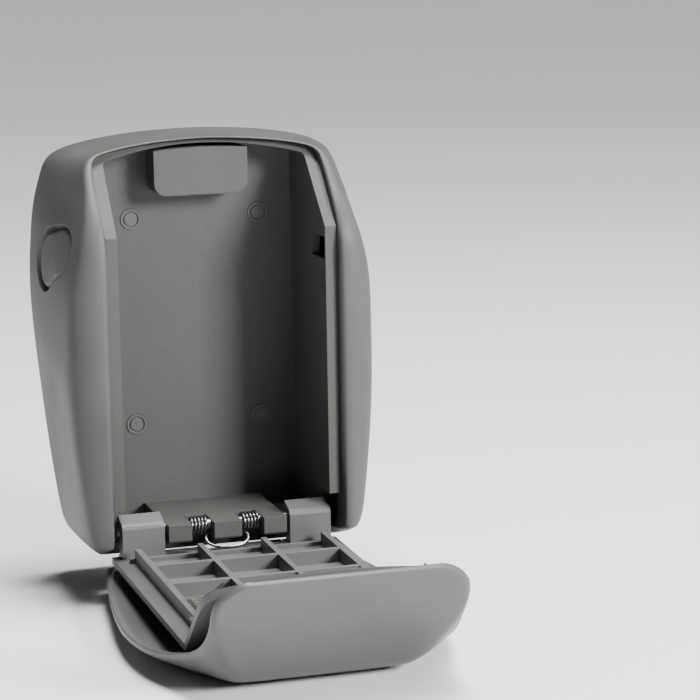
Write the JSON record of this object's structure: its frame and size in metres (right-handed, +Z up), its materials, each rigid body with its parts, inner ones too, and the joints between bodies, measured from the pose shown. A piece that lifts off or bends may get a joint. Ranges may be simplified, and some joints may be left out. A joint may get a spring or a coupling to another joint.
{
  "type": "key lock box",
  "caption": "Wall-mounted key box with a drop-down combination door, a hinged weather cover and a sculpted casing.",
  "frame": {"origin": "middle of the back face, midway across the casing, where it meets the wall", "axes": "+X to the right seen from the front, +Y into the wall, +Z up"},
  "size_m": [0.1052, 0.1687, 0.143],
  "materials": {
    "body_paint": "satin grey paint with a fine orange-peel texture",
    "box_cast": "matte grey paint over a casting",
    "back_cast": "matte grey paint over a casting",
    "plug_cast": "matte moulded plastic",
    "door_paint": "satin grey paint",
    "cover_paint": "satin grey paint",
    "lock_cast": "bare die casting, slightly rough",
    "lock_steel": "bright rolled steel",
    "steel": "bright turned steel",
    "dial_black": "black moulded plastic with white numbers"
  },
  "bodies": {
    "root": {"outer_shell": "body_paint", "inner_box": "box_cast", "back_plate": "back_cast", "case_screws": "steel", "top_block": "box_cast", "block_screws": "steel", "hole_plugs": "plug_cast", "hinge_pin": "steel"},
    "door": {"door_panel": "door_paint", "torsion_spring": "steel", "lock_housing": "lock_cast", "lock_cover": "lock_steel", "lock_screws": "steel", "bolt_spring": "steel", "dial_axle": "steel", "detent_spring": "lock_steel", "cover_pins": "steel"},
    "bolt_left": {"bolt_left": "lock_steel"},
    "bolt_right": {"bolt_right": "lock_steel"},
    "release_tab": {"release_tab": "lock_cast"},
    "code_lever": {"code_lever": "lock_steel"},
    "cover": {"cover_leaf": "cover_paint", "weather_cover": "cover_paint"},
    "dial_1": {"dial_wheel_1": "dial_black", "wheel_hub_1": "lock_cast"},
    "dial_2": {"dial_wheel_2": "dial_black", "wheel_hub_2": "lock_cast"},
    "dial_3": {"dial_wheel_3": "dial_black", "wheel_hub_3": "lock_cast"},
    "dial_4": {"dial_wheel_4": "dial_black", "wheel_hub_4": "lock_cast"}
  },
  "joints": [
    {"name": "door_hinge", "type": "hinge", "parent": "root", "child": "door", "pos_m": [0, -0.03665, -0.05725], "axis": [1, 0, 0], "range_deg": [-91, 0]},
    {"name": "cover_hinge", "type": "hinge", "parent": "door", "child": "cover", "pos_m": [0, -0.03332, -0.06754], "axis": [1, 0, 0], "range_deg": [0, 95]},
    {"name": "release_slide", "type": "slide", "parent": "door", "child": "release_tab", "axis": [0, -0.7373, 0.6756], "range_m": [0, 0.0025]},
    {"name": "bolt_left_slide", "type": "slide", "parent": "door", "child": "bolt_left", "axis": [-1, 0, 0], "range_m": [0, 0.0025]},
    {"name": "bolt_right_slide", "type": "slide", "parent": "door", "child": "bolt_right", "axis": [1, 0, 0], "range_m": [0, 0.0025]},
    {"name": "code_lever_turn", "type": "hinge", "parent": "door", "child": "code_lever", "pos_m": [0, -0.11285, -0.06053], "axis": [0, -0.0175, 0.9998], "range_deg": [0, 60]},
    {"name": "dial_1_turn", "type": "hinge", "parent": "door", "child": "dial_1", "pos_m": [-0.0171, -0.13982, -0.05742], "axis": [1, 0, 0], "continuous": true},
    {"name": "dial_2_turn", "type": "hinge", "parent": "door", "child": "dial_2", "pos_m": [-0.0057, -0.13982, -0.05742], "axis": [1, 0, 0], "continuous": true},
    {"name": "dial_3_turn", "type": "hinge", "parent": "door", "child": "dial_3", "pos_m": [0.0057, -0.13982, -0.05742], "axis": [1, 0, 0], "continuous": true},
    {"name": "dial_4_turn", "type": "hinge", "parent": "door", "child": "dial_4", "pos_m": [0.0171, -0.13982, -0.05742], "axis": [1, 0, 0], "continuous": true}
  ],
  "couplings": [
    {"joint": "bolt_left_slide", "follows": "release_slide", "ratio": 1},
    {"joint": "bolt_right_slide", "follows": "release_slide", "ratio": 1}
  ]
}
